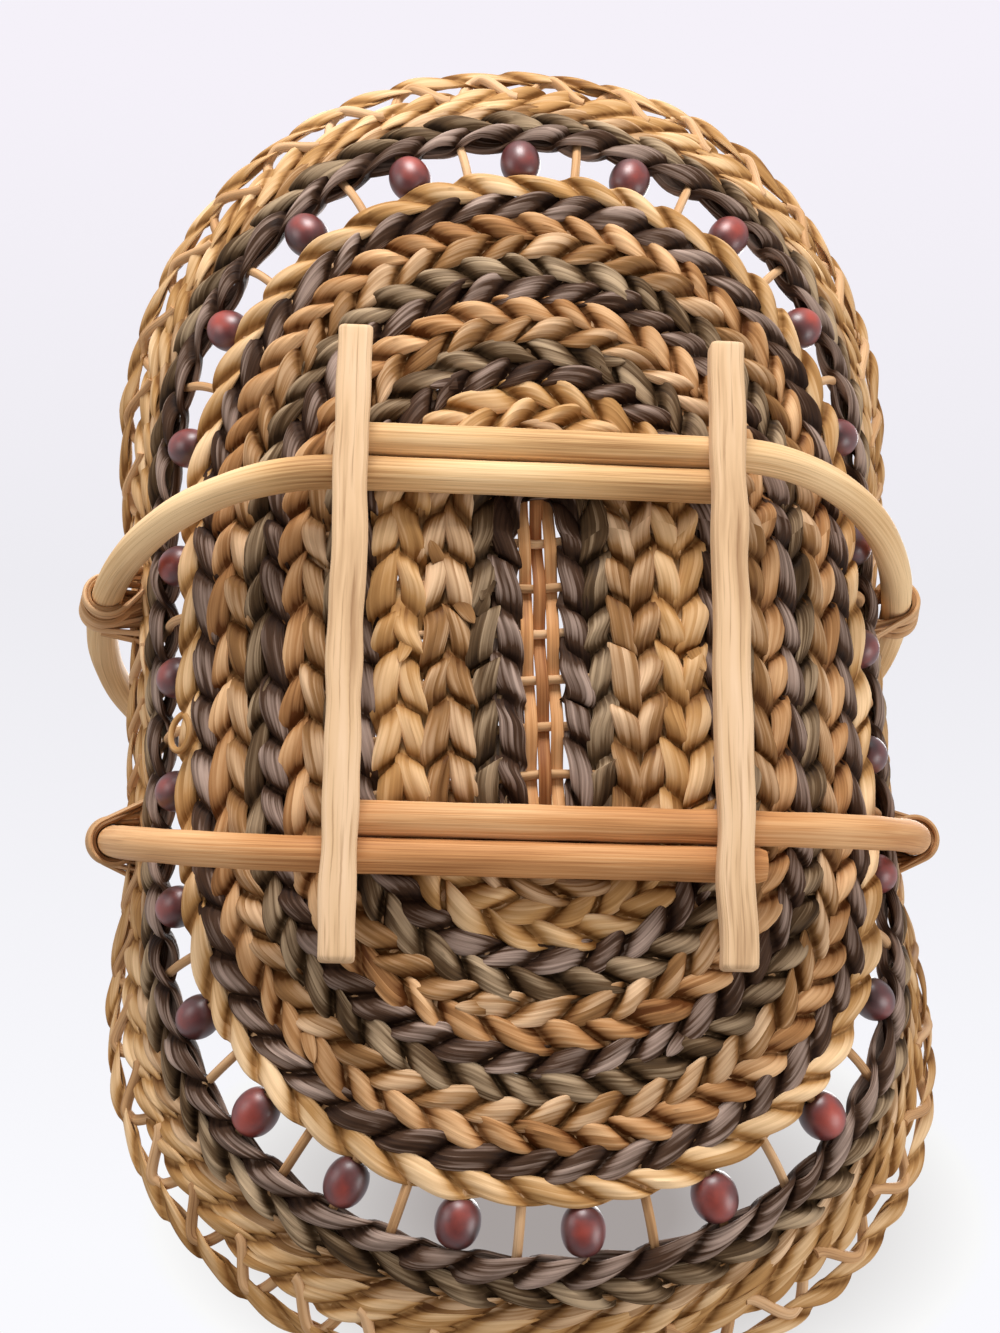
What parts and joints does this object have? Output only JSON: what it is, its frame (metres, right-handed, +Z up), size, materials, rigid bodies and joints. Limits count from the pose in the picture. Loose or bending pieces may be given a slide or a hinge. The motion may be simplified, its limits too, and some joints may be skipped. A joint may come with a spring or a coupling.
{
  "type": "garden trug",
  "caption": "Oval woven garden trug with a bead gallery under its rim, hung in two bent cane hoops that form the handles and stand on two wooden runners.",
  "frame": {"origin": "on the ground, midway between the runners and midway along them", "axes": "+Z up, +Y along the tray and the runners, +X across the tray through the handles' feet"},
  "size_m": [0.3354, 0.4836, 0.3584],
  "materials": {
    "runner_wood": "satin, pale wood with fine brown grain",
    "cane": "satin, peeled golden cane with streaks",
    "nail_steel": "plain",
    "dark_fibre": "dull, dyed charcoal brown plant fibre",
    "tan_fibre": "dull, brownish tan plant fibre",
    "golden_fibre": "slightly glossy, golden tan plant fibre",
    "rattan": "satin, thin rattan core",
    "bead_wood": "glossy, maroon stained wood"
  },
  "bodies": {
    "root": {"runner_left": "runner_wood", "runner_right": "runner_wood", "hoop_back": "cane", "hoop_front": "cane", "nail_back_left": "nail_steel", "nail_back_right": "nail_steel", "nail_front_left": "nail_steel", "nail_front_right": "nail_steel", "weave_row_1": "dark_fibre", "weave_row_2": "tan_fibre", "weave_row_3": "golden_fibre", "weave_row_4": "dark_fibre", "weave_row_5": "tan_fibre", "weave_row_6": "dark_fibre", "weave_row_7": "tan_fibre", "weave_row_8_dark": "dark_fibre", "weave_row_9_light": "golden_fibre", "outer_band": "dark_fibre", "border_twine": "rattan", "rim_rope": "rattan", "cross_spoke_1": "rattan", "cross_spoke_2": "rattan", "cross_spoke_3": "rattan", "cross_spoke_4": "rattan", "cross_spoke_5": "rattan", "cross_spoke_6": "rattan", "spoke_fan_back": "rattan", "spoke_fan_front": "rattan", "spine_strip_left": "golden_fibre", "spine_strip_middle": "rattan", "spine_strip_right": "golden_fibre", "bead_1": "bead_wood", "bead_2": "bead_wood", "bead_3": "bead_wood", "bead_4": "bead_wood", "bead_5": "bead_wood", "bead_6": "bead_wood", "bead_7": "bead_wood", "bead_8": "bead_wood", "bead_9": "bead_wood", "bead_10": "bead_wood", "bead_11": "bead_wood", "bead_12": "bead_wood", "bead_13": "bead_wood", "bead_14": "bead_wood", "bead_15": "bead_wood", "bead_16": "bead_wood", "bead_17": "bead_wood", "bead_18": "bead_wood", "bead_19": "bead_wood", "bead_20": "bead_wood", "bead_21": "bead_wood", "bead_22": "bead_wood", "bead_23": "bead_wood", "bead_24": "bead_wood", "bead_25": "bead_wood", "lashing_back_left": "rattan", "lashing_back_right": "rattan", "lashing_front_left": "rattan", "lashing_front_right": "rattan"}
  },
  "joints": []
}
